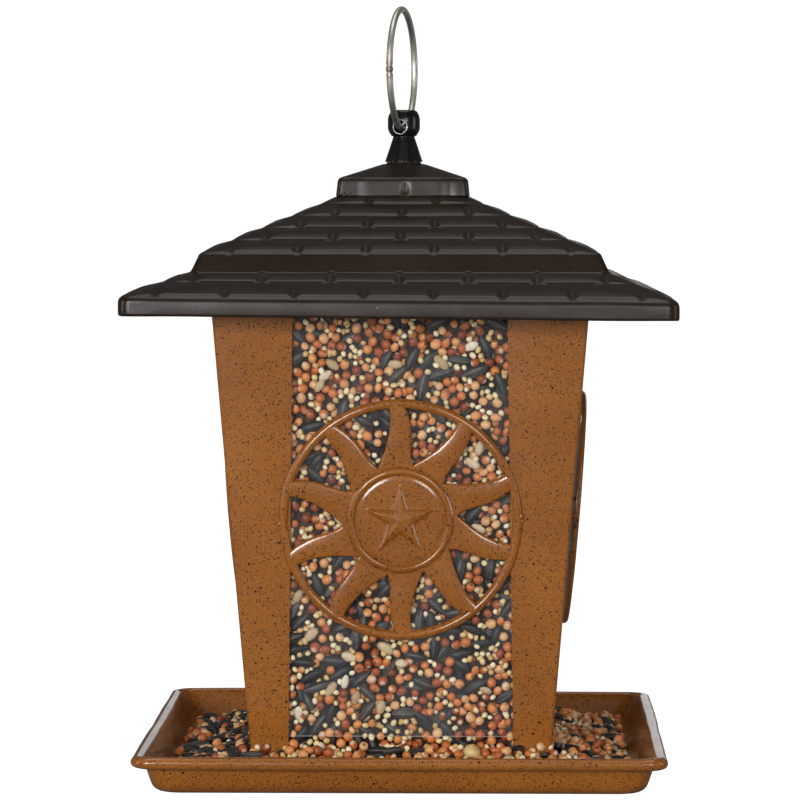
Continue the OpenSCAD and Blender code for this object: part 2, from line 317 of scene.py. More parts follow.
def joined(parts):
    """One list of points and faces from several, with each face's part number."""
    points, faces, picks, start = [], [], [], 0
    for number, (part_points, part_faces) in enumerate(parts):
        points.append(np.asarray(part_points, float))
        faces += [[i + start for i in face] for face in part_faces]
        picks += [number] * len(part_faces)
        start += len(part_points)
    return np.concatenate(points), faces, picks


# ---------------------------------------------------------------- materials

class Shader:
    """A material with one Principled surface and short calls that add nodes to it."""

    def __init__(self, name, **settings):
        self.material = bpy.data.materials.new(name)
        self.material.use_nodes = True
        self.tree = self.material.node_tree
        self.surface = self.tree.nodes["Principled BSDF"]
        for socket, value in settings.items():
            self.set(socket.replace("_", " "), value)
        self.place = self.add("ShaderNodeTexCoord").outputs["Object"]

    def set(self, socket, value):
        self.feed(self.surface.inputs[socket], value)

    def feed(self, socket, value):
        if isinstance(value, bpy.types.NodeSocket):
            self.tree.links.new(value, socket)
        elif isinstance(value, tuple) and len(value) == 3 and socket.type == "RGBA":
            socket.default_value = (*value, 1)
        else:
            socket.default_value = value

    def add(self, kind, inputs=(), **settings):
        node = self.tree.nodes.new(kind)
        for key, value in settings.items():
            setattr(node, key, value)
        for key, value in dict(inputs).items():
            self.feed(node.inputs[key], value)
        return node

    def noise(self, scale, detail=2.0, roughness=0.5, where=None):
        inputs = {"Vector": where or self.place, "Scale": scale, "Detail": detail, "Roughness": roughness}
        return self.add("ShaderNodeTexNoise", inputs).outputs["Fac"]

    def math(self, operation, a, b=0.0):
        return self.add("ShaderNodeMath", {0: a, 1: b}, operation=operation).outputs[0]

    def span(self, value, low, high, to_low=0.0, to_high=1.0, smooth=False):
        inputs = {"Value": value, "From Min": low, "From Max": high, "To Min": to_low, "To Max": to_high}
        kind = "SMOOTHSTEP" if smooth else "LINEAR"
        return self.add("ShaderNodeMapRange", inputs, interpolation_type=kind).outputs["Result"]

    def mix(self, share, a, b):
        """A colour between a and b. The colour sockets of a Mix node are inputs 6 and 7 and output 2."""
        return self.add("ShaderNodeMix", {0: share, 6: a, 7: b}, data_type="RGBA").outputs[2]

    def rough(self, scale, detail, low, high):
        """Roughness that wanders between low and high."""
        self.set("Roughness", self.span(self.noise(scale, detail), 0.3, 0.7, low, high))

    def specks(self, scale, share, size):
        """1 inside round specks of mixed sizes, one in each cell whose random draw is in share."""
        cells = self.add("ShaderNodeTexVoronoi", {"Vector": self.place, "Scale": scale, "Randomness": 1.0})
        draw = self.add("ShaderNodeSeparateColor", {"Color": cells.outputs["Color"]}).outputs["Red"]
        radius = self.span(draw, 1 - share, 1.0, 0.0, size)
        return self.math("LESS_THAN", cells.outputs["Distance"], radius)

    def bump(self, height, distance, strength=1.0):
        inputs = {"Height": height, "Distance": distance, "Strength": strength}
        self.set("Normal", self.add("ShaderNodeBump", inputs).outputs["Normal"])

    def height_parts(self, *parts):
        """The sum of (value, weight) pairs."""
        total = 0.0
        for value, weight in parts:
            total = self.math("ADD", self.math("MULTIPLY", value, weight), total)
        return total


def speckled_paint():
    s = Shader("speckled_paint", Specular_IOR_Level=0.18, Coat_Weight=0.75, Coat_Roughness=0.11)
    cloud = s.span(s.noise(28, 4), 0.3, 0.7)
    grain = s.span(s.noise(1500, 3, 0.7), 0.42, 0.72)
    brown = s.mix(cloud, (0.300, 0.096, 0.013), (0.375, 0.130, 0.018))
    brown = s.mix(s.math("MULTIPLY", grain, 0.6), brown, (0.12, 0.040, 0.010))
    specks = s.math("MAXIMUM", s.specks(430, 0.42, 0.23), s.specks(850, 0.65, 0.32))
    specks = s.math("MAXIMUM", specks, s.specks(1500, 0.85, 0.42))
    s.set("Base Color", s.mix(specks, brown, (0.026, 0.013, 0.006)))
    s.rough(90, 3, 0.25, 0.36)
    s.bump(s.height_parts((s.noise(420, 2), 0.5), (grain, 0.2), (specks, 0.25)), 0.00006, 0.7)
    return s.material


def roof_paint():
    s = Shader("roof_paint", Specular_IOR_Level=0.32)
    cloud = s.span(s.noise(22, 4), 0.3, 0.7)
    grain = s.noise(1100, 3, 0.7)
    dark = s.mix(cloud, (0.0160, 0.0086, 0.0042), (0.0250, 0.0142, 0.0072))
    dark = s.mix(s.span(grain, 0.45, 0.75), dark, (0.0045, 0.0030, 0.0022))
    s.set("Base Color", s.mix(s.specks(260, 0.03, 0.07), dark, (0.30, 0.28, 0.25)))
    s.rough(60, 4, 0.28, 0.36)
    s.bump(s.height_parts((grain, 0.35), (s.noise(160, 2), 0.6)), 0.00010, 0.6)
    return s.material


def finial_paint():
    s = Shader("finial_paint")
    wear = s.span(s.noise(260, 4, 0.6), 0.55, 0.8)
    s.set("Base Color", s.mix(wear, (0.003, 0.003, 0.003), (0.012, 0.011, 0.010)))
    s.rough(500, 3, 0.20, 0.30)
    s.bump(s.noise(900, 2), 0.00005, 0.6)
    return s.material


def bright_lip():
    s = Shader("bright_lip", Metallic=0.9)
    scuffs = s.span(s.noise(900, 3), 0.35, 0.65)
    s.set("Base Color", s.mix(scuffs, (0.30, 0.29, 0.28), (0.62, 0.61, 0.60)))
    s.set("Roughness", s.span(scuffs, 0, 1, 0.45, 0.3))
    return s.material


def ring_wire(weld):
    """Nickel-plated wire, browned for a few millimetres round the weld, whose place is given in metres."""
    s = Shader("ring_wire", Metallic=1.0)
    shift = s.add("ShaderNodeVectorMath", {0: s.place, 1: tuple(weld)}, operation="DISTANCE").outputs["Value"]
    cloud = s.noise(120, 3)
    plate = s.mix(s.span(cloud, 0.35, 0.65), (0.62, 0.575, 0.51), (0.78, 0.74, 0.68))
    blurred = s.math("ADD", shift, s.math("MULTIPLY", cloud, 0.003))
    heat = s.span(blurred, 0.0035, 0.0075, 1.0, 0.0, smooth=True)
    plate = s.mix(s.math("MULTIPLY", heat, 0.7), plate, (0.20, 0.12, 0.075))
    ragged = s.math("ADD", shift, s.math("MULTIPLY", s.noise(900, 2), 0.003))
    scorch = s.span(ragged, 0.0022, 0.0032, 1.0, 0.0)
    s.set("Base Color", s.mix(s.math("MULTIPLY", scorch, 0.75), plate, (0.05, 0.03, 0.02)))
    s.rough(700, 3, 0.38, 0.50)
    s.bump(s.noise(1500, 2), 0.00001, 0.5)
    return s.material


def zinc():
    s = Shader("zinc", Metallic=1.0)
    cells = s.add("ShaderNodeTexVoronoi", {"Vector": s.place, "Scale": 500.0}).outputs["Color"]
    draw = s.add("ShaderNodeSeparateColor", {"Color": cells}).outputs["Green"]
    s.set("Base Color", s.mix(draw, (0.48, 0.48, 0.46), (0.62, 0.62, 0.60)))
    s.rough(300, 3, 0.32, 0.5)
    s.bump(s.noise(1200, 2), 0.00003, 0.5)
    return s.material


def rubber():
    s = Shader("rubber", Specular_IOR_Level=0.3)
    s.set("Base Color", s.mix(s.noise(800, 3), (0.012, 0.012, 0.012), (0.03, 0.03, 0.03)))
    s.rough(500, 3, 0.7, 0.85)
    s.bump(s.noise(1600, 2), 0.00004, 0.6)
    return s.material


def clear_plastic(name, haze_low, haze_high):
    s = Shader(name, Specular_IOR_Level=0.6)
    dust = s.math("MAXIMUM", s.noise(45, 5, 0.65), s.specks(700, 0.08, 0.12))
    s.set("Base Color", s.mix(dust, (0.80, 0.82, 0.83), (0.95, 0.96, 0.96)))
    s.rough(200, 3, 0.10, 0.2)
    s.set("Alpha", s.span(dust, 0.35, 0.85, haze_low, haze_high))
    return s.material


def grain_sockets(s):
    """A grain's random draw, place along its length and place across it, each from 0 to 1."""
    colour = s.add("ShaderNodeAttribute", attribute_name="grain").outputs["Color"]
    parts = s.add("ShaderNodeSeparateColor", {"Color": colour}).outputs
    return parts["Red"], parts["Green"], parts["Blue"]


def ramp(s, value, *stops):
    node = s.add("ShaderNodeValToRGB", {"Fac": value})
    elements = node.color_ramp.elements
    while len(elements) < len(stops):
        elements.new(0.5)
    for element, (position, colour) in zip(elements, stops):
        element.position = position
        element.color = (*colour, 1)
    return node.outputs["Color"]


def sunflower_shell():
    s = Shader("sunflower_shell", Specular_IOR_Level=0.45)
    draw, length, across = grain_sockets(s)
    coat = ramp(s, draw, (0.0, (0.008, 0.008, 0.009)), (0.5, (0.015, 0.015, 0.017)),
                (0.8, (0.027, 0.026, 0.027)), (1.0, (0.050, 0.040, 0.034)))
    stripe = s.math("SINE", s.math("MULTIPLY", across, 34.0))
    stripe = s.span(s.math("ADD", stripe, s.math("MULTIPLY", s.noise(600, 3), 0.9)), 1.05, 1.5)
    shown = s.math("MULTIPLY", stripe, s.span(draw, 0.25, 0.9, 0.1, 0.75))
    coat = s.mix(shown, coat, (0.21, 0.19, 0.17))
    s.set("Base Color", s.mix(s.span(length, 0.93, 1.0, 0.0, 0.6), coat, (0.28, 0.24, 0.19)))
    s.rough(900, 3, 0.42, 0.6)
    s.bump(s.height_parts((stripe, 0.5), (s.noise(1100, 3), 0.5)), 0.00012, 0.8)
    return s.material


def milo_skin():
    s = Shader("milo_skin", Specular_IOR_Level=0.5, Subsurface_Weight=0.08, Subsurface_Scale=0.0008)
    draw, length, _ = grain_sockets(s)
    skin = ramp(s, draw, (0.0, (0.22, 0.040, 0.012)), (0.2, (0.46, 0.105, 0.022)), (0.5, (0.68, 0.21, 0.045)),
                (0.75, (0.78, 0.33, 0.10)), (1.0, (0.84, 0.52, 0.26)))
    skin = s.mix(s.span(s.noise(420, 3), 0.5, 0.75, 0.0, 0.55), skin, (0.24, 0.062, 0.024))
    skin = s.mix(s.span(length, 0.86, 0.97, 0.0, 0.85), skin, (0.74, 0.58, 0.42))
    s.set("Base Color", s.mix(s.span(length, 0.02, 0.06, 0.9, 0.0), skin, (0.05, 0.022, 0.014)))
    s.rough(700, 3, 0.36, 0.5)
    s.bump(s.noise(900, 3), 0.00010, 0.6)
    return s.material


def millet_skin():
    s = Shader("millet_skin", Specular_IOR_Level=0.5, Subsurface_Weight=0.10, Subsurface_Scale=0.0008)
    draw, length, _ = grain_sockets(s)
    skin = ramp(s, draw, (0.0, (0.62, 0.40, 0.14)), (0.3, (0.80, 0.60, 0.28)), (0.7, (0.90, 0.76, 0.45)),
                (1.0, (0.93, 0.85, 0.64)))
    s.set("Base Color", s.mix(s.span(length, 0.90, 1.0, 0.0, 0.7), skin, (0.33, 0.20, 0.09)))
    s.rough(900, 2, 0.32, 0.45)
    s.bump(s.noise(1400, 2), 0.00005, 0.5)
    return s.material


def chip_flesh():
    s = Shader("chip_flesh")
    draw, _, _ = grain_sockets(s)
    flesh = ramp(s, draw, (0.0, (0.42, 0.27, 0.12)), (0.5, (0.66, 0.52, 0.32)), (1.0, (0.84, 0.77, 0.62)))
    s.set("Base Color", s.mix(s.span(s.noise(500, 4), 0.45, 0.7, 0.0, 0.4), flesh, (0.36, 0.24, 0.13)))
    s.rough(800, 3, 0.5, 0.7)
    s.bump(s.noise(700, 3), 0.00015, 0.8)
    return s.material


def seed_painted_shade():
    """Painted shade: the seed deep between the grains, coloured near black as it looks in the shade there."""
    s = Shader("seed_painted_shade", Specular_IOR_Level=0.2)
    cells = s.add("ShaderNodeTexVoronoi", {"Vector": s.place, "Scale": 300.0})
    draw = s.add("ShaderNodeSeparateColor", {"Color": cells.outputs["Color"]}).outputs["Red"]
    # painted shade: near-black browns for seed lying in the shade between grains
    tint = ramp(s, draw, (0.0, (0.016, 0.012, 0.010)), (0.6, (0.045, 0.020, 0.011)),
                (1.0, (0.09, 0.05, 0.026)))
    s.set("Base Color", tint)
    s.rough(300, 3, 0.7, 0.9)
    s.bump(cells.outputs["Distance"], 0.0008, 1.0)
    return s.material


PAINT = speckled_paint()
ROOF = roof_paint()
FINIAL = finial_paint()
ZINC = zinc()
RUBBER = rubber()
WINDOW = clear_plastic("clear_plastic", 0.006, 0.05)
WINDOW_EDGE = clear_plastic("clear_plastic_edge", 0.25, 0.5)
GRAIN_MATERIALS = [sunflower_shell(), milo_skin(), millet_skin(), chip_flesh()]


def paint_node(name, material):
    """Gives a CAD node that stays a finished material."""
    slots = frame["nodes"][name].data.materials
    slots.clear()
    slots.append(material)


for kept in ("window_channels", "top_frame", "seed_baffle"):
    paint_node(kept, PAINT)
for kept in ("base_washer", "base_nut", "baffle_nut"):
    paint_node(kept, ZINC)
paint_node("finial_washer", RUBBER)


# ---------------------------------------------------------------- tray and posts

def build_tray():
    """Pressed pan: rolled rim, leaning wall, round lower edge, raised boss round the rod."""
    half = TRAY_HIGH[0]
    top = TRAY_HIGH[2]
    bead = 2.4
    bead_x, bead_z = half - bead, top - bead
    floor = 83.0
    boss_low, boss_top, boss_h = 15.0, 13.0, 9.0
    meet = radians(152)
    outer = rounded_path([(ROD_HOLE, boss_h, 0), (boss_top, boss_h, 1.6), (boss_low, SHEET, 1.2),
                          (floor, SHEET, 0), (92.2, SHEET + 0.2, 4.2),
                          (bead_x + bead * cos(meet), bead_z + bead * sin(meet), 0)], 9)
    roll = [(bead_x + bead * cos(a), bead_z + bead * sin(a))
            for a in np.linspace(meet, radians(-148), 25)[1:]]
    under = rounded_path([(96.6, bead_z - 1.6, 0), (93.2, 0.0, 4.8), (floor - 2, 0.0, 0),
                          (boss_low, 0.0, 1.6), (boss_top - SHEET, boss_h - SHEET, 1.0),
                          (ROD_HOLE, boss_h - SHEET, 0)], 9)
    path = np.concatenate([subdivided(outer, 3.5), roll, subdivided(under, 3.5)])
    radii = np.interp(path[:, 0], [0, 15, 60, 91, half], [15, 15, 7, 7, 7.2])

    def relief(k, half_width, s, loop):
        high = path[k, 1] > 3
        return ripple(loop, 5.0, 0.035) * (0.32 if high and half_width > 60 else 0.0)

    points, faces = square_shell(path, radii, 56, 12, relief)
    # the pressing is a little out of true: its right wall leans out, its left rear corner sits high
    height = np.clip(points[:, 2] / top, 0, 1) * (np.abs(points[:, :2]).max(axis=1) > floor)
    towards_back = np.clip((points[:, 1] + 80) / 120, 0, 1)
    points[:, 0] += 1.5 * height * np.clip(points[:, 0] / half, 0, 1) ** 3 * towards_back
    towards_left = np.clip(0.4 - points[:, 0] / half, 0, 1)
    points[:, 2] += 1.2 * height * np.clip(points[:, 1] / half, 0, 1) * towards_left
    piece = make_piece("tray_shell", points, [f[::-1] for f in faces], [PAINT])
    drains = []
    for k in range(8):
        reach, angle = 98 if k % 2 else 74, k * pi / 4
        at = np.array([reach * cos(angle), reach * sin(angle), 0])
        drains.append(tube([at - [0, 0, 2], at + [0, 0, 3]], [1.6, 1.6], 24, closed=False))
    points, faces, _ = joined(drains)
    bore(piece, make_piece("tray_drains", points, faces, [PAINT]))
    piece.data.set_sharp_from_angle(angle=radians(50))
    return settle(piece, "feeder_body", "speckled_paint", "tray")


def post_outline(z):
    """The folded sheet's outline at height z for the front right corner, with a round fold."""
    w, e, t, fold = wall(z), opening(z), POST_SHEET, 1.5
    a = np.radians(np.linspace(-90, 0, 8))
    outer = [(w - fold + fold * cos(v), -w + fold + fold * sin(v)) for v in a]
    inner = [(w - fold + (fold - t) * cos(v), -w + fold + (fold - t) * sin(v)) for v in a[::-1]]
    end = np.radians(np.linspace(90, 270, 7))
    tip = [(e + t / 2 + t / 2 * cos(v), -w + t / 2 + t / 2 * sin(v)) for v in end]
    far = [(-y, -x) for x, y in tip[::-1]]
    return [*tip, *outer, *far, *inner]


def build_post(name, quarter_turns):
    levels = np.linspace(FOOT_Z, HEAD_Z, 28)
    rows = []
    for z in levels:
        outline = np.array([(x, y, z) for x, y in post_outline(z)])
        sway = 0.10 * noise.noise(Vector((quarter_turns * 7.0, 0, z * 0.02)))
        outline[:, :2] *= 1 + sway / 100
        rows.append(outline)
    count = len(rows[0])
    points = turned(np.concatenate(rows), quarter_turns)
    faces = grid_faces(len(levels), count)
    faces += fan(0, count, flip=True) + fan((len(levels) - 1) * count, count)
    piece = make_piece(name + "_sheet", points, faces, [PAINT], sharp=40)
    return settle(piece, "feeder_body", "speckled_paint", name)


build_tray()
for post, quarter in {"corner_post_front_right": 0, "corner_post_back_right": 1,
                      "corner_post_back_left": 2, "corner_post_front_left": 3}.items():
    build_post(post, quarter)


# ---------------------------------------------------------------- windows

def build_window(side):
    """A clear sheet with softened edges, standing in the channels."""
    low, high = WINDOW_LOW[2], WINDOW_HIGH[2]
    lap = WINDOW_HIGH[0] - opening(low)
    soft = 0.18
    points, picks = [], []
    for z, ease in ((low, soft), (low + soft, 0), (high - soft, 0), (high, soft)):
        reach = opening(z) + lap - ease
        front, back = -wall(z) + POST_SHEET + 0.1, -wall(z) + WINDOW_BACK
        points += [(soft - reach, front + ease, z), (reach - soft, front + ease, z),
                   (reach, front + soft, z), (reach, back - soft, z),
                   (reach - soft, back - ease, z), (soft - reach, back - ease, z),
                   (-reach, back - soft, z), (-reach, front + soft, z)]
    faces = grid_faces(4, 8) + fan(0, 8, flip=True) + fan(24, 8)
    for face in faces:
        corners = np.array([points[i] for i in face])
        normal = np.cross(corners[1] - corners[0], corners[2] - corners[0])
        normal /= np.linalg.norm(normal)
        picks.append(0 if abs(normal[1]) > 0.97 else 1)
    piece = make_piece(f"window_{side}_sheet", turned(points, SIDES[side]), faces,
                       [WINDOW, WINDOW_EDGE], picks, smooth=False)
    return settle(piece, "feeder_body", "clear_window", f"window_{side}")


for side_name in SIDES:
    build_window(side_name)


# ---------------------------------------------------------------- sun medallions

RAYS = 10
BEAD_R = 1.8           # outer ring, half round
HUB_R = 20.2
HUB_BEAD = 1.3         # half width of the bead round the hub
STAR_R = 14.4
STAR_WAIST = 0.37      # radius of the dips between the star's points, as a share of STAR_R
PLATE_TOP = 1.3        # heights of the plate's faces above the pressing's back
PLATE_BACK = 0.25
TOP_RAY = radians(96)  # where one ray points, near straight up


def ray_bend(r):
    """How far, in radians, a ray's middle has swung clockwise at radius r."""
    return np.radians(-5.5 * np.sin(pi * (r - 21) / 30) - 0.5)


def ray_half(r):
    """Half width of a ray at radius r, as an angle: tapering outward, and flared where it leaves the hub."""
    width = 3.2 + 2.2 * (44 - r) / 22 + 1.6 * np.exp((22 - r) / 2.5)
    return np.minimum(np.arcsin(np.minimum(width / r, 0.9)), pi / RAYS)


def star_height(x, y):
    """Height of the raised star at x, y: five ridges that fall to the valleys between its points."""
    angle = (np.arctan2(x, y) + TAU) % (TAU / 5)
    angle = np.minimum(angle, TAU / 5 - angle)
    r = np.hypot(x, y)
    tip = np.array([0.0, STAR_R])
    dip = STAR_R * STAR_WAIST * np.array([sin(pi / 5), cos(pi / 5)])
    edge = dip - tip
    normal = np.array([-edge[1], edge[0]]) / np.linalg.norm(edge)
    outside = (r * np.sin(angle) - tip[0]) * normal[0] + (r * np.cos(angle) - tip[1]) * normal[1]
    return np.clip(-outside, 0, None)


def medallion_disc():
    """Hub and rays as one plate: a domed, S-curved ray for each tenth of a turn."""
    columns_per_ray = 26
    columns = RAYS * columns_per_ray
    hub_radii = np.concatenate([np.linspace(0.6, 15.6, 30), np.linspace(16.1, 21.4, 18)])
    turn = np.arange(columns) * TAU / columns + TOP_RAY

    def hub_height(x, y):
        r = np.hypot(x, y)
        bead_at = HUB_R - HUB_BEAD
        bead = 0.95 * np.sqrt(np.clip(1 - ((r - bead_at) / HUB_BEAD) ** 2, 0, None))
        raised = star_height(x, y)
        star = 1.45 * (1 - np.exp(-raised / 0.95)) + 0.10 * raised
        groove = -0.3 * np.exp(-((r - (bead_at - HUB_BEAD - 0.5)) / 0.8) ** 2)
        return PLATE_TOP + star + groove + bead

    hub = []
    for r in hub_radii:
        x, y = r * np.cos(turn), r * np.sin(turn)
        hub.append(np.stack([x, y, hub_height(x, y)], axis=1))
    centre = np.array([[0, 0, float(hub_height(np.array([0.0]), np.array([1e-6]))[0])]])
    faces = [[0, 1 + i, 1 + (i + 1) % columns] for i in range(columns)]
    faces += [f[::-1] for f in grid_faces(len(hub_radii), columns, start=1)]
    rim_start = 1 + (len(hub_radii) - 1) * columns
    back = hub[-1] * [1, 1, 0] + [0, 0, PLATE_BACK]
    points = np.concatenate([centre, *hub, back])
    back_start = rim_start + columns
    for i in range(columns):
        j = (i + 1) % columns
        faces.append([rim_start + i, back_start + i, back_start + j, rim_start + j])
    faces += fan(back_start, columns, flip=True)
    parts = [(points, faces)]

    # each ray is a closed strip with a crown, from just inside the hub's edge to the outer bead
    u = np.concatenate([np.linspace(-1, -0.82, 4), np.linspace(-0.7, 0.7, 9), np.linspace(0.82, 1, 4)])
    radii = np.concatenate([np.linspace(19.6, 26, 12), np.linspace(27, 45.2, 20)])
    for k in range(RAYS):
        base = TOP_RAY + k * TAU / RAYS
        rows = []
        for r in radii:
            angle = base + ray_bend(r) + ray_half(r) * u
            shoulder = np.clip((1 - np.abs(u)) * ray_half(r) * r, 0, 1)
            crown = 0.6 * np.sqrt(1 - (1 - shoulder) ** 2) + 0.5 * (1 - u ** 2) * np.clip((r - 21) / 8, 0, 1)
            front = np.stack([r * np.cos(angle), r * np.sin(angle), PLATE_TOP - 0.6 + crown], axis=1)
            rear = front[::-1] * [1, 1, 0] + [0, 0, PLATE_BACK]
            rows.append(np.concatenate([front, rear]))
        count = 2 * len(u)
        strip = grid_faces(len(radii), count)
        strip += fan(0, count, flip=True) + fan((len(radii) - 1) * count, count)
        parts.append((np.concatenate(rows), strip))
    return parts


def weld_blob(x, y, z, size, seed):
    """A small cooled drop of weld, lumpy and a little flattened."""
    rows, columns = 7, 12
    points = []
    for i in range(1, rows):
        for j in range(columns):
            a, b = pi * i / rows, TAU * j / columns
            p = Vector((sin(a) * cos(b), sin(a) * sin(b), cos(a) * 0.75))
            p *= size * (1 + 0.25 * noise.noise(p * 1.7 + Vector((seed, 0, 0))))
            points.append((x + p.x, y + p.y, z + p.z))
    faces = [f[::-1] for f in grid_faces(rows - 1, columns)]
    faces += fan(0, columns) + fan((rows - 2) * columns, columns, flip=True)
    return np.array(points), faces


def half_bead(radius, segments, steps=12):
    """A ring of half-round section with a flat back."""
    profile = np.array([(radius - BEAD_R * cos(a), BEAD_R * sin(a)) for a in np.linspace(0, pi, steps)])
    angle = np.arange(segments) * TAU / segments
    points = []
    for a in angle:
        swell = 1 + 0.03 * noise.noise(Vector((cos(a) * 3, sin(a) * 3, 1)))
        r, z = radius + (profile[:, 0] - radius) * swell, profile[:, 1] * swell
        points.append(np.stack([r * cos(a), r * sin(a), z], axis=1))
    return np.concatenate(points), grid_faces(segments, steps, closed_rows=True)


def medallion_parts(stand):
    """The whole pressing with its weld tacks, which reach down by stand to the posts."""
    bead_ring = (MEDAL_HIGH[0] - MEDAL_LOW[0]) / 2 - BEAD_R
    parts = medallion_disc()
    parts.append(half_bead(bead_ring, 220))
    for k, sign in enumerate((1, -1)):
        parts.append(weld_blob(sign * (bead_ring + 1.3), 1.6 - 3 * k, 1.1, 1.0, k * 9.0))
        parts.append(weld_blob(sign * (bead_ring + 1.7), -0.2 - 3 * k, 0.8, 0.8, k * 9.0 + 4))
        if stand > 0.5:
            tack = [(sign * bead_ring, 0, 0.1 - stand), (sign * bead_ring, 0, 0.9)]
            parts.append(tube(tack, [1.2, 1.2], 20, closed=False))
    return parts


def build_medallions():
    """The same pressing on all four sides, leaning with the wall. The right one stands proud on its tacks."""
    c, s = cos(LEAN), sin(LEAN)
    for side, quarter in SIDES.items():
        low, high = node_box(f"sun_medallion_{side}")
        middle = (low[2] + high[2]) / 2
        reach = {"front": -low[1], "right": high[0], "back": high[1], "left": -low[0]}[side]
        plain = -MEDAL_LOW[1]
        stand = 0.1 + max(0.0, reach - plain)
        points, faces, _ = joined(medallion_parts(stand))
        x, up, out = points[:, 0], points[:, 1], points[:, 2]
        stood = np.stack([x, -wall(middle) - stand - out * c - up * s, middle + up * c - out * s], axis=1)
        piece = make_piece(f"sun_medallion_{side}_pressing", turned(stood, quarter), faces, [PAINT], sharp=38)
        settle(piece, "feeder_body", "speckled_paint", f"sun_medallion_{side}")


build_medallions()


# ---------------------------------------------------------------- roof and cap

JOINT_PITCH = 26.0    # between the upright joints of one row of shingles
JOINT_DEPTH = 0.32
SHINGLE_LIFT = 0.95
NOTCH_DEPTH = 0.20    # of the crease under each row
ROW_PITCH = 11.0
HIP_FADE = 15.0       # the shingles fade out over this distance from the hips
EAVE_SPRING = 0.95
STEP_FOOT = (79.5, 197.1)
SHOULDER = (76.3, 204.3)
RIDGE = (22.0, ROOF_HIGH[2])
SKIRT_TOP = 186.6
UPPER_ROWS = [SHOULDER[0] - 0.6 - ROW_PITCH * k for k in range(5)] + [20.5]
LOWER_ROWS = [ROOF_HIGH[0] - 1.6, 89.4, STEP_FOOT[0]]


def row_levels(edges, cuts):
    """Half widths for the levels of each shingle row, close together at its lower edge."""
    levels = []
    for low, high in zip(edges, edges[1:]):
        levels += [low - (low - high) * f for f in cuts]
    return levels


def on_line(half, a, b):
    return a[1] + (b[1] - a[1]) * (a[0] - half) / (a[0] - b[0])


def roof_path():
    """(half width, z) from the eave's foot in over the shingles to the rod's hole, and back out beneath.

    With it goes the kind of shingling at each point.
    """
    cuts = [0.0, 0.04, 0.08, 0.13, 0.2, 0.32, 0.46, 0.6, 0.74, 0.87, 0.96]
    eave, low = ROOF_HIGH[0], ROOF_LOW[2]
    slope_foot = (LOWER_ROWS[0], 188.0)
    path = [(eave - 0.5, low), (eave, low + 0.5)]
    path += [(eave, z) for z in np.linspace(low + 1.2, SKIRT_TOP - 0.9, 7)]
    path += [(eave - 0.1, SKIRT_TOP - 0.2), (eave - 0.45, SKIRT_TOP + 0.6), (eave - 1.0, SKIRT_TOP + 1.15)]
    shingled = [None] * len(path)
    for half in row_levels(LOWER_ROWS, cuts):
        path.append((half, on_line(half, slope_foot, STEP_FOOT)))
        shingled.append("lower")
    step = rounded_path([(STEP_FOOT[0] + 0.5, STEP_FOOT[1] - 0.2, 0), (*STEP_FOOT, 0.45),
                         (*SHOULDER, 0.8), (SHOULDER[0] - 1.2, SHOULDER[1] + 0.5, 0)], 5)[1:-1]
    step = subdivided(step, 1.3)
    path += [tuple(p) for p in step]
    shingled += ["step"] * len(step)
    for half in row_levels(UPPER_ROWS, cuts):
        if half < SHOULDER[0] - 0.9:
            path.append((half, on_line(half, SHOULDER, RIDGE)))
            shingled.append("upper")
    path += [(20.5, RIDGE[1]), (12, RIDGE[1]), (ROD_HOLE, RIDGE[1])]
    shingled += [None] * 3
    inner = [(ROD_HOLE, RIDGE[1] - SHEET), (21.5, RIDGE[1] - SHEET), (SHOULDER[0] - 0.7, SHOULDER[1] - 0.9),
             (STEP_FOOT[0] - 0.65, STEP_FOOT[1] - 0.85), (eave - 2.2, SKIRT_TOP + 0.5),
             (eave - 1.2, SKIRT_TOP - 0.3), (eave - SHEET, SKIRT_TOP - 1.2), (eave - SHEET, low + 0.4)]
    path += inner
    shingled += [None] * len(inner)
    return np.array(path), shingled


def row_place(half, edges):
    """Which row a half width lies in, and how far up the row it is, from 0 to 1."""
    for number, (low, high) in enumerate(zip(edges, edges[1:])):
        if high < half <= low + 1e-6:
            return number, (low - half) / (low - high)
    return len(edges) - 2, 1.0


def groove(s, number, up):
    """From 0 on a joint between two shingles to 1 away from it. The joint fades out up the row."""
    centre = (number + 1) % 2 * JOINT_PITCH / 2
    gap = np.abs((s - centre + JOINT_PITCH / 2) % JOINT_PITCH - JOINT_PITCH / 2)
    share = np.clip(gap / (2.6 - 0.9 * up), 0, 1)
    share = share * share * (3 - 2 * share)
    return 1 - (1 - share) * np.clip(1.15 - 1.25 * up, 0, 1)


def shingle(s, half, edges):
    """Height of the pressed shingles: each row swells to a round lower lip that drops to the row below."""
    number, up = row_place(half, edges)
    lip = min(1.0, up / 0.06) * (0.36 + 0.64 * sin(min(1.0, up / 0.6) * pi / 2))
    fall = (1 - max(0.0, up - 0.5) / 0.5) ** 0.9
    lift = SHINGLE_LIFT * lip * fall * np.interp(half, [32, 56], [0.6, 1])
    lift -= NOTCH_DEPTH * exp(-(min(up, 1.25 * (1 - up)) / 0.05) ** 2)
    from_hip = np.clip((half - np.abs(s)) / HIP_FADE, 0, 1)
    open_share = groove(s, number, up)
    relief = lift * open_share - JOINT_DEPTH * (1 - open_share)
    return relief * (0.12 + 0.88 * from_hip * from_hip * (3 - 2 * from_hip))


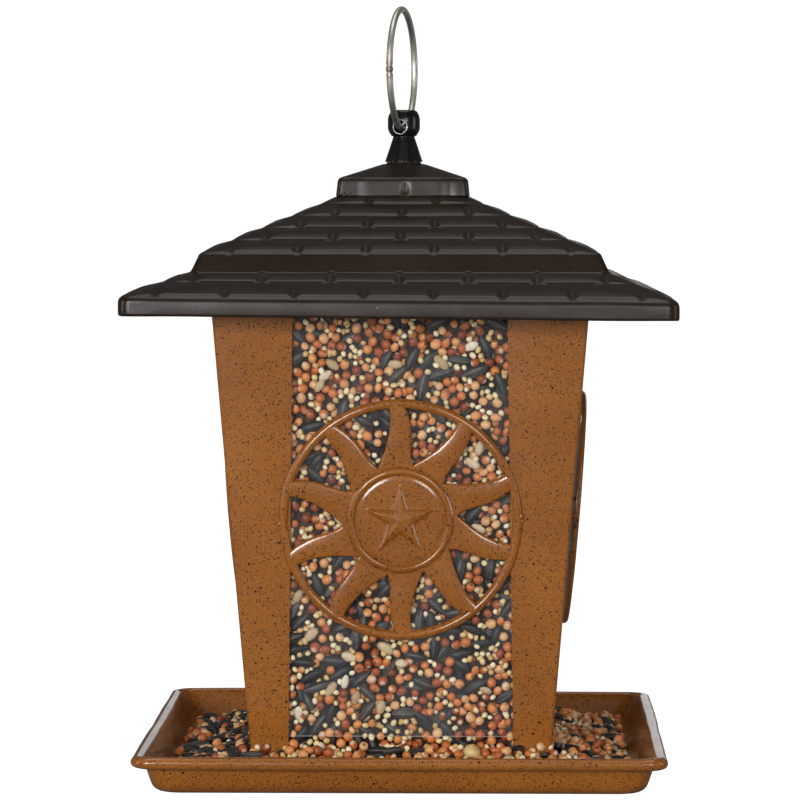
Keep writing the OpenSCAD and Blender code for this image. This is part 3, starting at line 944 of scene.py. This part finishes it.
def build_roof():
    path, shingled = roof_path()

    def relief(k, half, s, loop):
        dent = ripple(loop, half * 0.4, 0.045)
        if shingled[k] is None:
            if half < ROOF_HIGH[0] - 5:
                return np.zeros(len(s))
            bulge = (path[k, 1] - (ROOF_LOW[2] + SKIRT_TOP) / 2) / ((SKIRT_TOP - ROOF_LOW[2]) / 2)
            return 0.30 * dent - 0.14 * bulge ** 2
        if shingled[k] == "step":
            climb = np.clip((path[k, 1] - STEP_FOOT[1]) / (SHOULDER[1] - STEP_FOOT[1]), 0, 1)
            notch = -0.45 * (1 - groove(s, 0, 0.0)) * np.clip((climb - 0.7) / 0.3, 0, 1)
            foot = 0.55 * (1 - groove(s, 1, 0.3)) * np.clip(1 - climb / 0.3, 0, 1)
            return notch + foot + 0.10 * dent
        edges = UPPER_ROWS if shingled[k] == "upper" else LOWER_ROWS
        return shingle(s, half, edges) + 0.15 * dent

    radii = np.interp(path[:, 0], [ROD_HOLE, 20, 60, 80, 103, 105], [ROD_HOLE, 1.6, 2.0, 2.6, 4.4, 5.0])
    points, faces = square_shell(path, radii, 190, 7, relief)
    # the eaves are sprung a little out of level: high on the left, low on the right
    spring = np.clip((np.abs(points[:, :2]).max(axis=1) - STEP_FOOT[0]) / (ROOF_HIGH[0] - STEP_FOOT[0]), 0, 1)
    points[:, 2] -= EAVE_SPRING * spring * points[:, 0] / ROOF_HIGH[0]
    points[:, :2] = np.clip(points[:, :2], -ROOF_HIGH[0], ROOF_HIGH[0])
    piece = make_piece("roof_shell", points, faces, [ROOF], sharp=60)
    return settle(piece, "roof", "roof_paint", "main_roof")


def build_cap():
    """Small pressed tier with a skirt, a dimple in each side and specks of weld at one corner."""
    half, low, top = CAP_HIGH[0], CAP_LOW[2], CAP_HIGH[2]
    edge = low + 7.2
    outer = rounded_path([(half - 0.3, low, 0), (half, low + 0.4, 0.2), (half - 0.7, edge, 1.5),
                          (7.6, top, 2.0), (ROD_HOLE, top, 0)], 9)
    inner = [(ROD_HOLE, top - SHEET), (7.6, top - SHEET - 0.1), (half - 2.4, edge - 1.1),
             (half - SHEET - 0.2, edge - 2.0), (half - SHEET, low + 0.2)]
    path = np.concatenate([subdivided(outer, 1.1), inner])
    radii = np.interp(path[:, 0], [0, 7.6, 25, half], [7.6, 7.6, 2.2, 2.2])

    def relief(k, half_width, s, loop):
        z = path[k, 1]
        if half_width <= half - 1.2 or k >= len(path) - len(inner):
            return np.zeros(len(s))
        height = exp(-((z - low - 2.6) / 2.4) ** 2)
        dimple = -0.75 * np.exp(-((s - 1.0) / 1.3) ** 2) * height
        dents = -0.3 * np.exp(-((np.abs(s) - 18) / 2.2) ** 2)
        return dimple + dents + 0.15 * ripple(loop, z, 0.12)

    shell = square_shell(path, radii, 60, 8, relief)
    spatter = [weld_blob(2.0 + 1.3 * k - half, -half - 0.1, low + 0.8 + k % 2 / 2, 0.55 - 0.08 * k, k * 3.0)
               for k in range(4)]
    points, faces, _ = joined([shell, *spatter])
    piece = make_piece("roof_cap_shell", points, faces, [ROOF], sharp=60)
    return settle(piece, "roof", "roof_paint", "roof_cap")


build_roof()
build_cap()


# ---------------------------------------------------------------- finial, ring and rod

EYE_Z = RING_JOINT["pos_m"][2] / MM
EYE_AXIS = Vector(RING_JOINT["axis"]).normalized()
HOLE_AXIS = Matrix.Rotation(radians(-3), 3, "Z") @ EYE_AXIS
EYE_R = 2.7


def build_finial():
    """Turned knob: cone, small neck and barrel head, drilled across for the ring."""
    foot, top = FINIAL_LOW[2], FINIAL_HIGH[2]
    neck = 250.0
    head = 6.43
    bore_r, bore_top = 3.05, 249.2
    flange = FINIAL_HIGH[0]
    outer = rounded_path([(bore_r, foot, 0), (flange, foot, 0.25), (flange - 0.1, foot + 0.5, 0.2),
                          (4.2, neck, 0.3), (5.0, neck + 0.25, 0.3), (head, neck + 2.6, 1.0),
                          (head, top - 2.6, 1.6), (4.9, top - 0.1, 1.1), (0, top, 0)], 7)
    profile = np.concatenate([[(0, bore_top), (bore_r, bore_top)], subdivided(outer, 0.8)])
    points, faces = lathe(profile, 96)
    knob = make_piece("finial_knob", points, faces, [FINIAL])
    reach = np.array(HOLE_AXIS) * 12
    centre = np.array([0, 0, EYE_Z])
    drill_points, drill_faces = tube([centre - reach, centre + reach], [EYE_R, EYE_R], 48, closed=False)
    bore(knob, make_piece("finial_drill", drill_points, drill_faces, [FINIAL]))
    knob.data.set_sharp_from_angle(angle=radians(40))
    settle(knob, "finial", "roof_paint", "finial")

    # bare bright lip where the drill broke through the paint, on both mouths
    across = np.array(HOLE_AXIS.cross(Vector((0, 0, 1))))
    lip_r = EYE_R + 0.12
    lips = []
    for sign in (1, -1):
        loop = []
        for a in np.arange(48) * TAU / 48:
            side, up = lip_r * cos(a), lip_r * sin(a)
            depth = sqrt(head ** 2 - side ** 2) - 0.12 - 0.5 * max(0, -up - 1.8)
            loop.append(centre + sign * depth * np.array(HOLE_AXIS) + side * across + np.array([0, 0, up]))
        lips.append(tube(loop, [0.28] * 48, 8, closed=True))
    points, faces, _ = joined(lips)
    lip = make_piece("finial_eye_lips", points, faces, [bright_lip()])
    settle(lip, "finial", "ring_steel")


def build_ring():
    """Wire bent to a circle and butt-welded halfway up its left limb."""
    wire_r = 1.3
    radius = (RING_HIGH[2] - RING_LOW[2]) / 2 - wire_r
    middle = (RING_HIGH[2] + RING_LOW[2]) / 2
    flat = np.array([-EYE_AXIS.x, -EYE_AXIS.y, 0.0]) if EYE_AXIS.y > 0 else np.array([*EYE_AXIS[:2], 0.0])
    flat /= np.linalg.norm(flat)
    shift = np.array([*((RING_HIGH + RING_LOW) / 2)[:2], 0.0])
    weld_at = radians(-2)
    count = 220
    angle = weld_at + np.arange(count) * TAU / count
    centres = np.array([radius * cos(a) * flat + shift + [0, 0, middle + radius * sin(a)] for a in angle])
    gap = np.minimum(angle - weld_at, TAU - (angle - weld_at)) * radius
    lump = 0.16 * np.exp(-(gap / 0.9) ** 2) - 0.28 * np.exp(-((gap - 1.4) / 0.35) ** 2)
    lump += 0.10 * np.exp(-((gap - 2.2) / 0.4) ** 2)
    points, faces = tube(centres, wire_r + lump - 0.02, 20, closed=True)
    piece = make_piece("ring_of_wire", points, faces, [ring_wire(centres[0] * MM)])
    return settle(piece, "ring", "ring_steel", "hanging_ring")


def build_rod():
    """Plain rod with a rolled thread at each end."""
    radius, pitch, depth = ROD_HIGH[0], 1.0, 0.28
    low, high = ROD_LOW[2], ROD_HIGH[2]
    step, sides = pitch / 6, 24
    levels = np.concatenate([np.arange(low, low + 14, step), np.linspace(low + 15, high - 15, 20),
                             np.arange(high - 14, high, step)])
    angle = np.arange(sides) * TAU / sides
    rows = []
    for z in levels:
        threaded = min(z - low, high - z) < 14
        tooth = np.abs(((z / pitch - angle / TAU) % 1) * 2 - 1) if threaded else np.ones(sides)
        ease = min(1.0, min(z - low, high - z) / 0.6 + 0.4)
        r = (radius - 0.02 - depth * (1 - tooth)) * (0.9 + 0.1 * ease)
        rows.append(np.stack([r * np.cos(angle), r * np.sin(angle), np.full(sides, z)], axis=1))
    faces = grid_faces(len(levels), sides) + fan(0, sides, flip=True) + fan((len(levels) - 1) * sides, sides)
    piece = make_piece("center_rod_threaded", np.concatenate(rows), faces, [ZINC], sharp=50)
    return settle(piece, "feeder_body", "zinc_hardware", "center_rod")


build_finial()
build_ring()
build_rod()


# ---------------------------------------------------------------- seed

def ball_template(segments, rings):
    """A unit ball with its ends on x."""
    profile = [(sin(pi * i / rings), -cos(pi * i / rings)) for i in range(rings + 1)]
    points, faces = lathe(profile, segments)
    return points[:, [2, 0, 1]], faces[:segments] + [f[::-1] for f in faces[segments:]]


def sunflower_template():
    """A flattened drop, blunt at one end and pointed at the other."""
    points, faces = ball_template(10, 8)
    x = points[:, 0]
    taper = np.where(x > 0, 1 - 0.42 * x ** 2, 1 - 0.06 * x ** 2)
    points[:, 1] *= taper
    points[:, 2] *= taper
    return points, faces


def chip_template():
    points, faces = ball_template(6, 4)
    wobble = np.array([1 + 0.35 * noise.noise(Vector(p) * 1.4 + Vector((3, 1, 7))) for p in points])
    return points * wobble[:, None], faces


# for each kind: template, half sizes (length, width, thickness), material's place in GRAIN_MATERIALS, and
# the spheres that stand for it when it is piled, as (place along its length, radius)
KINDS = {
    "sunflower": (sunflower_template(), (5.2, 2.15, 1.5), 0, ((-2.8, 1.5), (0.0, 1.8), (2.8, 1.1))),
    "milo": (ball_template(9, 7), (1.95, 1.85, 1.72), 1, ((0.0, 1.85),)),
    "millet": (ball_template(7, 5), (1.36, 1.14, 1.08), 2, ((0.0, 1.15),)),
    "chip": (chip_template(), (3.1, 1.9, 0.9), 3, ((-1.2, 1.1), (1.2, 1.1))),
    "straw": (ball_template(5, 4), (5.5, 0.5, 0.35), 3, ((-3.2, 0.45), (0.0, 0.45), (3.2, 0.45))),
    "pea": (ball_template(14, 10), (3.6, 3.5, 3.5), 2, ((0.0, 3.5),)),
}
SQUEEZE = 0.90        # piled spheres may overlap by the rest
CELL = 6.0
CORE_DEPTH = 0.3      # of the dark core below the heap's floor, whose colour is painted shade


class Pile:
    """Grains dropped one by one towards a floor. A grain lies at a, b on the floor, and lift above it."""

    def __init__(self, rng, floor):
        self.rng = rng
        self.floor = floor
        self.cells = {}
        self.grains = []

    def near(self, a, b):
        i, j = int(a // CELL), int(b // CELL)
        for p in (i - 1, i, i + 1):
            for q in (j - 1, j, j + 1):
                yield from self.cells.get((p, q), ())

    def drop(self, kind, a, b, most):
        """Drops one grain at a, b and keeps it if its lift is at most most."""
        rng = self.rng
        size = rng.uniform(0.86, 1.12)
        yaw = rng.uniform(0, TAU)
        spheres = [(a + t * size * cos(yaw), b + t * size * sin(yaw), r * size)
                   for t, r in KINDS[kind][3]]
        lift = -1e9
        for x, y, r in spheres:
            lift = max(lift, self.floor(x, y) + r)
            for ox, oy, ol, o_r in self.near(x, y):
                reach = (r + o_r) * SQUEEZE
                d2 = (x - ox) ** 2 + (y - oy) ** 2
                if d2 < reach * reach:
                    lift = max(lift, ol + sqrt(reach * reach - d2))
        if lift - spheres[0][2] > most(a, b):
            return False
        for x, y, r in spheres:
            self.cells.setdefault((int(x // CELL), int(y // CELL)), []).append((x, y, lift, r))
        self.grains.append((kind, a, b, lift, yaw, size))
        return True


def cluster(a, b, seed):
    """Slow noise that gathers grains of one kind."""
    return noise.noise(Vector((a * 0.075, b * 0.075, seed)))


def fill_pile(pile, region, seed, passes):
    """Fills a region with mixed grains. Each pass is (kind, tries, most lift, least cluster)."""
    rng = pile.rng
    for kind, tries, most, least in passes:
        for _ in range(tries):
            a, b = region(rng)
            if cluster(a, b, seed + len(kind)) < least + rng.uniform(-0.25, 0.25):
                continue
            pile.drop(kind, a, b, most if callable(most) else lambda *_: most)


def rotation_rows(yaw, pitch, roll):
    """Rotation matrices for arrays of angles: roll about the length, pitch out of the floor, yaw in it."""
    cy, cp, cr = (np.cos(angle) for angle in (yaw, pitch, roll))
    sy, sp, sr = (np.sin(angle) for angle in (yaw, pitch, roll))
    return np.stack([
        np.stack([cy * cp, cy * sp * sr - sy * cr, cy * sp * cr + sy * sr], -1),
        np.stack([sy * cp, sy * sp * sr + cy * cr, sy * sp * cr - cy * sr], -1),
        np.stack([-sp, cp * sr, cp * cr], -1)], -2)


def grain_mesh(name, pile, placing):
    """One mesh of a pile's grains, put in place by placing, with their draws as an attribute."""
    all_points, all_faces, picks, draws, start = [], [], [], [], 0
    for kind, ((points, faces), half, slot, _) in KINDS.items():
        chosen = [g for g in pile.grains if g[0] == kind]
        if not chosen:
            continue
        count, each = len(chosen), len(points)
        a, b, lift, yaw, size = (np.array([g[k] for g in chosen]) for k in (1, 2, 3, 4, 5))
        rng = np.random.default_rng(count * 7 + len(kind))
        lying = 0.22 if half[0] > 1.5 * half[2] else 1.2
        turn = rotation_rows(yaw, rng.normal(0, lying * 0.5, count), rng.normal(0, lying, count))
        spread = 1 + rng.normal(0, 0.05, (count, 3))
        shape = points[None] * np.array(half) * (size[:, None] * spread)[:, None, :]
        placed = np.einsum("nij,npj->npi", turn, shape)
        placed += np.stack([a, b, lift], axis=1)[:, None, :]
        all_points.append(placing(placed.reshape(-1, 3)))
        all_faces += [[i + start + n * each for i in f] for n in range(count) for f in faces]
        picks += [slot] * (count * len(faces))
        draw = np.repeat(rng.uniform(0, 1, count), each)
        length = np.tile(points[:, 0] / 2 + 0.5, count)
        across = np.tile(np.arctan2(points[:, 2], points[:, 1]) / TAU + 0.5, count)
        draws.append(np.stack([draw, length, across, np.ones_like(draw)], axis=1))
        start += count * each
    piece = make_piece(name, np.concatenate(all_points), all_faces, GRAIN_MATERIALS, picks)
    layer = piece.data.color_attributes.new("grain", "FLOAT_COLOR", "POINT")
    layer.data.foreach_set("color", np.concatenate(draws).astype(np.float32).ravel())
    return piece


def window_seed(side):
    """Grains pressed against one window and out of the slot below it."""
    quarter = SIDES[side]
    rng = np.random.default_rng(40 + quarter)
    low, high = 5.0, SEED_HIGH[2] - 2.0

    def region(r):
        z = r.uniform(low, high)
        return r.uniform(-1, 1) * (opening(z) + 1.5), z

    pile = Pile(rng, lambda a, b: 0.05)
    fill_pile(pile, region, 3.0 + quarter * 11, [
        ("sunflower", 400, 0.6, 0.06), ("chip", 60, 0.6, -1), ("milo", 3800, 0.35, -0.30),
        ("millet", 5800, 0.3, -0.16), ("straw", 24, 1.5, -1), ("sunflower", 300, 3.2, -0.1),
        ("milo", 1500, 2.2, -0.6), ("millet", 2600, 1.9, -0.5),
        ("sunflower", 300, 6.0, -1), ("milo", 450, 4.5, -1), ("millet", 350, 3.6, -1)])

    def placing(points):
        a, b, lift = points[:, 0], points[:, 1], points[:, 2]
        out = -wall(b) + WINDOW_BACK + lift
        return turned(np.stack([a, out, b], axis=1), quarter)

    return pile, placing


def tray_floor(x, y):
    """Height of the heaped seed in the tray: highest by the body, lowest by the tray's wall."""
    reach = max(abs(x), abs(y))
    inner, outer = wall(0) + 1.0, TRAY_HIGH[0] - 15.0
    share = min(max((reach - inner) / (outer - inner), 0), 1)
    bumps = 1.1 * noise.noise(Vector((x * 0.05, y * 0.05, 2.0)))
    return 9.5 - 7.8 * share ** 0.8 + bumps * (1 - 0.5 * share)


def tray_seed():
    rng = np.random.default_rng(7)
    inner, outer = wall(0) - 1.0, TRAY_HIGH[0] - 12.5

    def region(r):
        while True:
            x, y = r.uniform(-outer, outer, 2)
            corner = hypot(max(0, abs(x) - outer + 9), max(0, abs(y) - outer + 9))
            if max(abs(x), abs(y)) > inner and corner < 9:
                return x, y

    def most(a, b):
        return tray_floor(a, b) + 2.6

    def most_long(a, b):
        """Keeps long grains off the tray's wall."""
        return most(a, b) if max(abs(a), abs(b)) < outer - 3.5 else -9.0

    pile = Pile(rng, tray_floor)
    pile.drop("pea", 27.5, -wall(0) - 4.0, lambda *_: 1e9)

    def left(r):
        return r.uniform(-outer, -inner - 1), r.uniform(4 - outer, outer - 4)

    fill_pile(pile, left, 60.0, [("sunflower", 900, most_long, -1), ("chip", 12, most_long, -1)])
    fill_pile(pile, region, 50.0, [
        ("sunflower", 700, most_long, 0.0), ("milo", 1500, most, -0.4), ("millet", 2400, most, -0.2),
        ("chip", 40, most_long, -1), ("straw", 30, most_long, -1), ("sunflower", 500, most_long, -0.1),
        ("milo", 1500, most, -0.8), ("millet", 2600, most, -0.8)])
    return pile, lambda points: points


def top_seed():
    """The level top of the seed in the hopper, seen when the roof is lifted."""
    rng = np.random.default_rng(19)
    half = wall(SEED_HIGH[2]) - 4.5
    level = SEED_HIGH[2] - 4.0

    def region(r):
        while True:
            x, y = r.uniform(-half, half, 2)
            if hypot(x, y) > 5.5:
                return x, y

    def floor(x, y):
        return level + 1.0 * noise.noise(Vector((x * 0.04, y * 0.04, 9.0)))

    def most(a, b):
        return floor(a, b) + 2.4

    pile = Pile(rng, floor)
    fill_pile(pile, region, 80.0, [
        ("sunflower", 600, most, -0.05), ("milo", 1500, most, -0.4), ("millet", 2200, most, -0.2),
        ("sunflower", 300, most, -1), ("milo", 900, most, -1), ("millet", 1200, most, -1)])
    return pile, lambda points: points


def seed_cores():
    """Dark solids that the grains lie on, so that no light passes between them. Their near-black colour is
    painted shade.
    """
    # painted shade showing through the gaps between grains
    dark = seed_painted_shade()
    low, high = 1.6, SEED_HIGH[2] - 3.6
    inset = WINDOW_BACK + 4.6
    foot, head = wall(low) - inset, wall(high) - inset
    outline = [(8.0, low), (foot, low), (foot + 0.2, low + 1),
               (head, high - 1), (head - 1, high), (4.0, high)]
    path = subdivided(np.array(outline), 8.0)[::-1]
    radii = np.interp(path[:, 0], [0, 8, 20], [4, 8, 4])
    points, faces = square_shell(path, radii, 14, 4)
    piece = make_piece("hopper_seed_core", points, faces, [dark], sharp=50)
    settle(piece, "feeder_body", "seed_mix", "seed_fill")

    inner, outer = wall(0) - 4.0, TRAY_HIGH[0] - 13.0
    halves = np.linspace(inner, outer, 16)
    path = [(h, tray_floor(h, 0) - CORE_DEPTH) for h in halves][::-1] + [(inner, 1.2), (outer, 1.2)]
    per_side, per_corner = 40, 5
    points, faces = square_shell(np.array(path), np.full(len(path), 5.0), per_side, per_corner)
    for p in points[:len(halves) * 4 * (per_side + per_corner)]:
        p[2] = tray_floor(p[0], p[1]) - CORE_DEPTH
    piece = make_piece("tray_seed_core", points, faces, [dark], sharp=60)
    settle(piece, "feeder_body", "seed_mix", "tray_seed")


def build_seed():
    seed_cores()
    for side in SIDES:
        piece = grain_mesh(f"hopper_seed_{side}", *window_seed(side))
        settle(piece, "feeder_body", "seed_mix", "seed_fill")
    piece = grain_mesh("hopper_seed_top", *top_seed())
    settle(piece, "feeder_body", "seed_mix", "seed_fill")
    piece = grain_mesh("tray_seed_grains", *tray_seed())
    settle(piece, "feeder_body", "seed_mix", "tray_seed")


build_seed()


# ---------------------------------------------------------------- stage, light and camera

def build_stage():
    """A plain white floor. It lights the feeder only weakly, as a floor well below a hung feeder would."""
    size = 6000.0
    points = [(-size, -size, 0), (size, -size, 0), (size, size, 0), (-size, size, 0)]
    s = Shader("pale_floor", Roughness=0.9, Specular_IOR_Level=0.1)
    s.set("Base Color", s.mix(s.noise(3, 2), (0.93, 0.93, 0.93), (0.95, 0.95, 0.95)))
    rays = s.add("ShaderNodeLightPath", {})
    glow = s.add("ShaderNodeEmission", {"Strength": 1.62})
    dim = s.add("ShaderNodeBsdfDiffuse", {"Color": (0.30, 0.30, 0.30, 1.0)})
    bright = s.add("ShaderNodeMixShader", {0: 0.62, 1: s.surface.outputs["BSDF"],
                                           2: glow.outputs["Emission"]})
    seen = s.add("ShaderNodeMixShader", {0: rays.outputs["Is Camera Ray"], 1: dim.outputs["BSDF"],
                                         2: bright.outputs["Shader"]})
    s.tree.links.new(seen.outputs["Shader"], s.tree.nodes["Material Output"].inputs["Surface"])
    floor = make_piece("floor", points, [(0, 1, 2, 3)], [s.material], smooth=False)
    floor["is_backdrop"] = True


def area_light(name, place, target, size, power):
    light = bpy.data.lights.new(name, "AREA")
    light.shape = "RECTANGLE"
    light.size, light.size_y = size
    light.energy = power
    lamp = bpy.data.objects.new(name, light)
    lamp.location = place
    lamp.rotation_euler = (Vector(target) - Vector(place)).to_track_quat("-Z", "Y").to_euler()
    link(lamp)


def build_light():
    """A soft sky overhead, three softboxes in front, strips at the sides and a low light behind."""
    middle = (0, 0, 0.15)
    sky = bpy.data.lights.new("sky_panel", "SUN")
    sky.energy = 0.78
    sky.angle = radians(40)
    lamp = bpy.data.objects.new("sky_panel", sky)
    lamp.rotation_euler = (radians(-5), 0, 0)
    link(lamp)
    area_light("softbox_front_left", (-0.70, -2.1, 0.42), middle, (0.7, 0.5), 28)
    area_light("softbox_front_right", (0.62, -2.2, 0.46), middle, (0.6, 0.5), 12)
    area_light("softbox_high", (0, -1.7, 1.75), middle, (1.8, 1.0), 0.9)
    area_light("strip_left", (-1.5, -0.45, 0.30), middle, (0.2, 0.9), 4)
    area_light("strip_right", (1.5, -0.25, 0.30), middle, (0.2, 0.9), 3)
    area_light("softbox_back", (0.3, 2.2, 0.35), middle, (1.2, 0.5), 1.5)
    world = bpy.data.worlds.new("studio")
    world.use_nodes = True
    nodes, links = world.node_tree.nodes, world.node_tree.links
    nodes["Background"].inputs["Color"].default_value = (1, 1, 1, 1)
    rays = nodes.new("ShaderNodeLightPath")
    span = nodes.new("ShaderNodeMapRange")
    span.inputs["To Min"].default_value = 0.10  # as the feeder reflects it
    span.inputs["To Max"].default_value = 1.05  # as the camera sees it
    links.new(rays.outputs["Is Camera Ray"], span.inputs["Value"])
    links.new(span.outputs["Result"], nodes["Background"].inputs["Strength"])
    bpy.context.scene.world = world


def build_camera():
    """Long lens, a little right of square-on and a little above."""
    azimuth, elevation = radians(1.25), radians(2.9)
    distance = 1.52172
    aim = Vector((-0.00157, 0, 0.14475))
    back = Vector((sin(azimuth) * cos(elevation), -cos(azimuth) * cos(elevation),
                   sin(elevation)))
    data = bpy.data.cameras.new("camera")
    data.sensor_width = 36.0
    data.lens = 171.05
    data.clip_end = 50
    camera = bpy.data.objects.new("camera", data)
    camera.location = aim + back * distance
    camera.rotation_euler = (-back).to_track_quat("-Z", "Y").to_euler()
    link(camera)
    bpy.context.scene.camera = camera


build_stage()
build_light()
build_camera()
bpy.context.scene.view_settings.view_transform = "Standard"

boxes = {"cad_box": CAD_BOX, "visual_box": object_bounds()}
{name: [list(corner) for corner in box] for name, box in boxes.items()}
